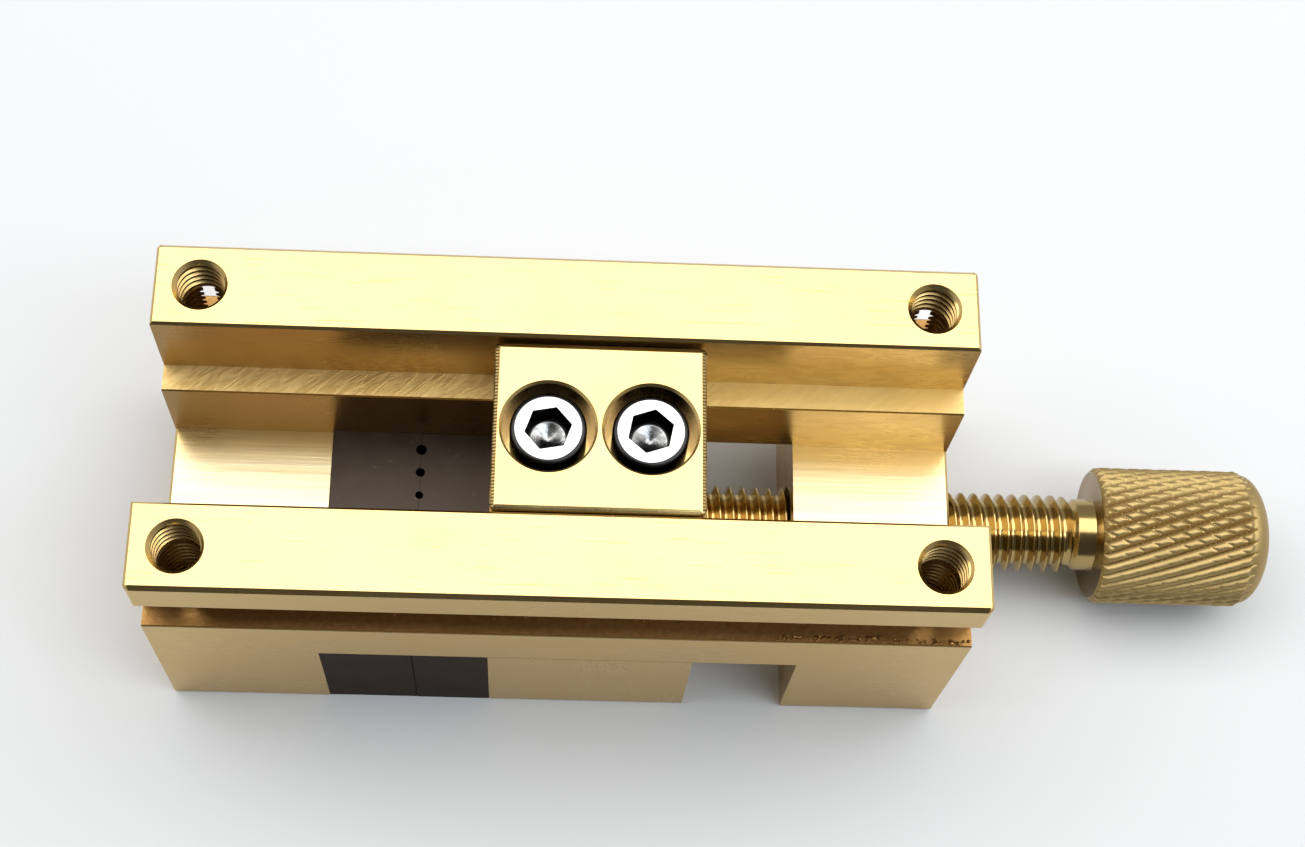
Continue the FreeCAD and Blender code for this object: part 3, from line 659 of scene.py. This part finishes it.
def brass_for_slider():
    """Polished plate and brushed block; the plate's ends keep the fine ribs of the cutter. Painted shade
    darkens the ribbed ends, the block's sides and the rear of the bores, and a painted dark reflection lies
    along the plate's front edge.
    """
    finish = Finish("brass_polished")
    up, across, _ = facing_masks(finish)
    x, y, z = finish.split(finish.place)
    low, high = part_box("slider_plate")
    top = high.z / MM
    front_end = low.y / MM
    reach = (high.x - low.x) / 2 / MM
    from_middle = finish.away_from(x, (low.x + high.x) / 2 / MM)
    side = finish.math("ABSOLUTE", y)
    on_plate = finish.between(z, 18.2, 18.5)

    flank = finish.both(on_plate, finish.between(from_middle, reach - 0.34, reach - 0.30))
    front = finish.both(finish.between(y, front_end + 0.24, front_end + 0.19), on_plate)
    rib = finish.math("MULTIPLY", finish.math("SUBTRACT", y, RIB_START), TAU / RIB_PITCH)
    rib = finish.math("COSINE", rib)
    rib = finish.both(finish.between(rib, 0.3, -0.5, 0.6, 1.0),
                      finish.between(z, top - 0.42, top - 0.34, 0.45, 1.0))
    block_side = finish.both(across, finish.between(side, 12.3, 12.5))
    bore_level = finish.band(z, top - 3.5, top - 3.3, top - 0.3, top - 0.12)
    bore_reach = finish.both(finish.between(from_middle, reach - 0.3, reach - 0.5),
                             finish.between(side, 3.9, 3.5))
    in_bore = finish.both(finish.both(bore_level, bore_reach), finish.between(y, -0.75, -0.15))

    cloud = finish.noise((0.2, 0.2, 0.2), detail=3.0)
    fine = finish.noise((7.0, 0.4, 0.4), detail=3.0, roughness=0.6)
    teeth = finish.noise((1.0, 4.0, 2.2), detail=2.0)
    side_lines = finish.noise((0.5, 1.0, 6.0), detail=3.0, roughness=0.6)

    tint = finish.blend(finish.between(cloud, 0.3, 0.7), BRASS, BRASS_PALE)
    for share, colour in (
            # Painted shade: the plate's ribbed ends are darkened, most in the ribs' grooves.
            (finish.both(flank, rib), BRASS_RIB_SHADE),
            # Painted dark reflection: a dark line along the plate's front edge.
            (finish.both(front, 0.85), BRASS_FRONT_EDGE_REFLECTION),
            # Painted shade: the block's sides take the same darker brass, broken by the brushed lines.
            (finish.both(block_side, finish.between(side_lines, 0.2, 0.8, 1.0, 0.8)), BRASS_SIDE_SHADE),
            # Painted shade: the rear half of the bores' walls is darkened.
            (finish.both(in_bore, 0.85), BRASS_BORE_SHADE)):
        tint = finish.blend(share, tint, colour)
    roughness = finish.total([
        (1.0, finish.between(cloud, 0.3, 0.7, 0.14, 0.19)), (0.06, fine), (0.10, across), (0.12, flank)])
    height = finish.total([
        (0.06, finish.both(fine, up)), (0.8, finish.both(teeth, flank)),
        (0.05, finish.both(side_lines, across))])
    return finish.finish(tint, roughness, height, depth=0.010)


def brass_for_screw():
    """Turned and knurled brass, a little duller in the grooves; painted shade darkens the knurl's grooves and
    the knob's flat face.
    """
    finish = Finish("brass_turned")
    x, y, z = finish.split(finish.place)
    cloud = finish.noise((0.35, 0.35, 0.35), detail=3.0)
    grain = finish.noise((6.0, 2.5, 2.5), detail=3.0, roughness=0.6)
    rings = finish.noise((14.0, 0.1, 0.1), detail=2.0)

    off_axis = finish.length(y, finish.math("SUBTRACT", z, SCREW_HEIGHT))
    on_knob = finish.between(x, KNOB_START, KNOB_START + 0.1)
    # The knurl's grooves and the knob's flat face: painted shade there, and a little more roughness.
    knurl_shade_and_dull = finish.both(finish.band(off_axis, 3.2, 4.6, 4.86, 5.08),
                       finish.between(x, KNOB_START + DOME_START + 0.1, KNOB_START + KNOB_SHOULDER + 0.1))
    knob_face = finish.band(x, KNOB_START - 0.05, KNOB_START - 0.01, KNOB_START + 0.01, KNOB_START + 0.06)
    knurl_shade_and_dull = finish.math("MAXIMUM", finish.both(knurl_shade_and_dull, on_knob), knob_face)

    tint = finish.blend(finish.between(cloud, 0.3, 0.7), SCREW_BRASS, SCREW_BRASS_DEEP)
    tint = finish.blend(finish.both(on_knob, 0.5), tint, KNOB_BRASS)
    # Painted shade in the knurl's grooves and on the knob's flat face.
    tint = finish.blend(finish.both(knurl_shade_and_dull, 0.6), tint, KNURL_SHADE_BRASS)
    roughness = finish.total([
        (1.0, finish.between(cloud, 0.3, 0.7, 0.12, 0.17)), (0.06, grain), (0.36, on_knob), (0.05, knurl_shade_and_dull)])
    height = finish.total([(0.3, grain), (0.4, rings)])
    return finish.finish(tint, roughness, height, depth=0.006)


def blackened_steel(name, colour, worn, gloss, edge_tint):
    """Steel with rubbed patches and a fine ground grain; gloss is its least roughness."""
    finish = Finish(name)
    finish.shader.inputs["Specular Tint"].default_value = (*edge_tint, 1.0)
    cloud = finish.noise((0.3, 0.3, 0.3), detail=4.0)
    grain = finish.noise((1.5, 8.0, 8.0), detail=3.0, roughness=0.6)
    spots = finish.between(finish.noise((2.0, 2.0, 2.0), detail=3.0), 0.66, 0.74)
    tint = finish.blend(finish.between(cloud, 0.3, 0.7), colour, worn)
    tint = finish.blend(finish.both(spots, 0.35), tint, tuple(2.0 * part for part in worn))
    roughness = finish.total([(1.0, finish.between(cloud, 0.3, 0.7, gloss, gloss + 0.08)), (0.10, grain)])
    height = finish.total([(0.6, grain), (0.6, cloud)])
    return finish.finish(tint, roughness, height, depth=0.005)


def bright_steel(name, colour, worn, gloss, depth):
    """Bare steel at the end of a cap screw, with faint grain; depth is the grain's, in millimetres."""
    finish = Finish(name)
    cloud = finish.noise((1.6, 1.6, 1.6), detail=3.0)
    grain = finish.noise((5.0, 5.0, 5.0), detail=4.0, roughness=0.7)
    tint = finish.blend(finish.between(cloud, 0.35, 0.65), colour, worn)
    roughness = finish.total([(1.0, finish.between(cloud, 0.3, 0.7, gloss, gloss + 0.05)), (0.05, grain)])
    return finish.finish(tint, roughness, grain, depth=depth)


def floor_paper():
    """Matt paper, a little paler towards the back: painted light standing in for the lamps' falloff."""
    finish = Finish("floor_paper", metallic=0.0)
    _, y, _ = finish.split(finish.place)
    cloud = finish.noise((0.02, 0.02, 0.02), detail=2.0)
    # Painted light: paler towards the back, as the light falls off towards the front.
    tint = finish.blend(finish.between(y, -45.0, 60.0), PAPER_FRONT, PAPER_BACK)
    tint = finish.blend(finish.between(cloud, 0.2, 0.8, 0.0, 0.25), tint, PAPER_CLOUD)
    roughness = finish.between(cloud, 0.3, 0.7, 0.75, 0.85)
    return finish.finish(tint, roughness)


def paint(thing, *materials):
    """Gives a thing its materials; clearing resets its faces' material numbers, so an empty list is left."""
    if thing.data.materials:
        thing.data.materials.clear()
    for material in materials:
        thing.data.materials.append(material)


# ---------------------------------------------------------------- pieces
body_piece = make_guide_body()
plate_piece = make_slider_plate()
screw_piece = make_thumb_screw()
cap_pieces = [make_cap_screw(node) for node in CAP_TURNS]
burr_piece = make_burrs()
jaw_pieces = [make_jaw("fixed_jaw", "guide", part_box("fixed_jaw")[1].x / MM),
              make_jaw("moving_jaw", "slider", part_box("moving_jaw")[0].x / MM)]

milled = brass_for_body()
polished = brass_for_slider()
jaw_steel = blackened_steel("steel_jaw", (0.036, 0.027, 0.021), (0.045, 0.035, 0.027),
                            0.30, (0.58, 0.56, 0.54))
cap_black = blackened_steel("steel_cap_black", (0.020, 0.019, 0.019), (0.030, 0.029, 0.029),
                            0.18, (0.3, 0.3, 0.3))
hidden_steel = blackened_steel("steel_plain", (0.20, 0.19, 0.18), (0.28, 0.27, 0.26), 0.30, (0.8, 0.8, 0.8))
paint(body_piece, milled)
# The burrs in the side groove take its painted shade too.
paint(burr_piece, milled)
paint(screw_piece, brass_for_screw())
cap_bright = bright_steel("steel_polished", (0.45, 0.445, 0.44), (0.52, 0.513, 0.508), 0.05, 0.002)
cap_cone = bright_steel("steel_drilled", (0.15, 0.148, 0.145), (0.34, 0.336, 0.33), 0.16, 0.012)
for piece in cap_pieces:
    paint(piece, cap_black, cap_bright, cap_cone)
paint(plate_piece, polished)
paint(NODES["slider_block"], polished)
for piece in jaw_pieces:
    paint(piece, jaw_steel)
for name in ("fixed_jaw_screws", "moving_jaw_screws", "retaining_pins"):
    paint(NODES[name], hidden_steel)


# ---------------------------------------------------------------- floor, light and camera, metres
FLOOR_REACH = 2.5
FLOOR_DROP = 0.00002
LIGHT_HEIGHT = 0.60


def make_floor():
    """The paper, a hair below the guide so that the two do not share a plane."""
    bm = bmesh.new()
    bmesh.ops.create_grid(bm, x_segments=4, y_segments=4, size=FLOOR_REACH)
    floor = finish_mesh(bm, "floor", 30.0)
    floor.location.z = -FLOOR_DROP
    paint(floor, floor_paper())


def add_softbox(name, low, high, height, radiance, colour=(1.0, 1.0, 1.0)):
    """A level rectangular area light of a given radiance, facing down, between two corners in X and Y."""
    light = bpy.data.lights.new(name, "AREA")
    light.shape = "RECTANGLE"
    light.size = high[0] - low[0]
    light.size_y = high[1] - low[1]
    light.color = colour
    light.energy = radiance * math.pi * light.size * light.size_y
    box = bpy.data.objects.new(name, light)
    box.location = ((low[0] + high[0]) / 2, (low[1] + high[1]) / 2, height)
    box.visible_camera = False
    bpy.context.scene.collection.objects.link(box)


def make_world():
    """Pale surroundings, dimmer in front; straight to the camera they are plain pale grey."""
    world = bpy.data.worlds.new("surroundings")
    world.use_nodes = True
    bpy.context.scene.world = world
    tree = world.node_tree
    background = tree.nodes["Background"]
    coords = tree.nodes.new("ShaderNodeTexCoord")
    split = tree.nodes.new("ShaderNodeSeparateXYZ")
    tree.links.new(coords.outputs["Generated"], split.inputs[0])

    def step(value, low, high, start, end):
        """Smooth step from start to end as value goes from low to high."""
        made = tree.nodes.new("ShaderNodeMapRange")
        made.interpolation_type = "SMOOTHSTEP"
        tree.links.new(value, made.inputs["Value"])
        for name, number in (("From Min", low), ("From Max", high), ("To Min", start), ("To Max", end)):
            made.inputs[name].default_value = number
        return made.outputs["Result"]

    def add(first, second):
        made = tree.nodes.new("ShaderNodeMath")
        made.operation = "ADD"
        tree.links.new(first, made.inputs[0])
        tree.links.new(second, made.inputs[1])
        return made.outputs[0]

    back = step(split.outputs["Y"], -0.35, 0.25, 0.10, 0.45)
    right = step(split.outputs["X"], 0.25, 0.9, 0.0, 0.35)
    left = step(split.outputs["X"], -0.45, -0.9, 0.0, 0.50)
    seen = tree.nodes.new("ShaderNodeLightPath")
    choose = tree.nodes.new("ShaderNodeMix")
    tree.links.new(seen.outputs["Is Camera Ray"], choose.inputs["Factor"])
    tree.links.new(add(back, add(right, left)), choose.inputs["A"])
    choose.inputs["B"].default_value = 0.85
    tree.links.new(choose.outputs["Result"], background.inputs["Strength"])
    background.inputs["Color"].default_value = (0.99, 1.0, 1.0, 1.0)


def make_camera():
    """The camera at the photo's viewing angle."""
    data = bpy.data.cameras.new("camera")
    data.lens = 61.192
    data.sensor_width = 36.0
    data.clip_start = 0.01
    data.clip_end = 20.0
    camera = bpy.data.objects.new("camera", data)
    camera.location = (-0.014542, -0.057177, 0.166315)
    camera.rotation_euler = Euler([math.radians(angle) for angle in (22.0957, -3.3051, 0.5429)])
    bpy.context.scene.collection.objects.link(camera)
    bpy.context.scene.camera = camera


make_floor()
add_softbox("key_softbox", (-0.81, -0.110), (0.79, 0.41), LIGHT_HEIGHT, 3.30)
add_softbox("fill_softbox", (0.06, -0.30), (0.84, -0.14), LIGHT_HEIGHT, 5.60, (0.94, 1.06, 1.18))
make_world()
make_camera()
bpy.context.scene.view_settings.view_transform = "Standard"
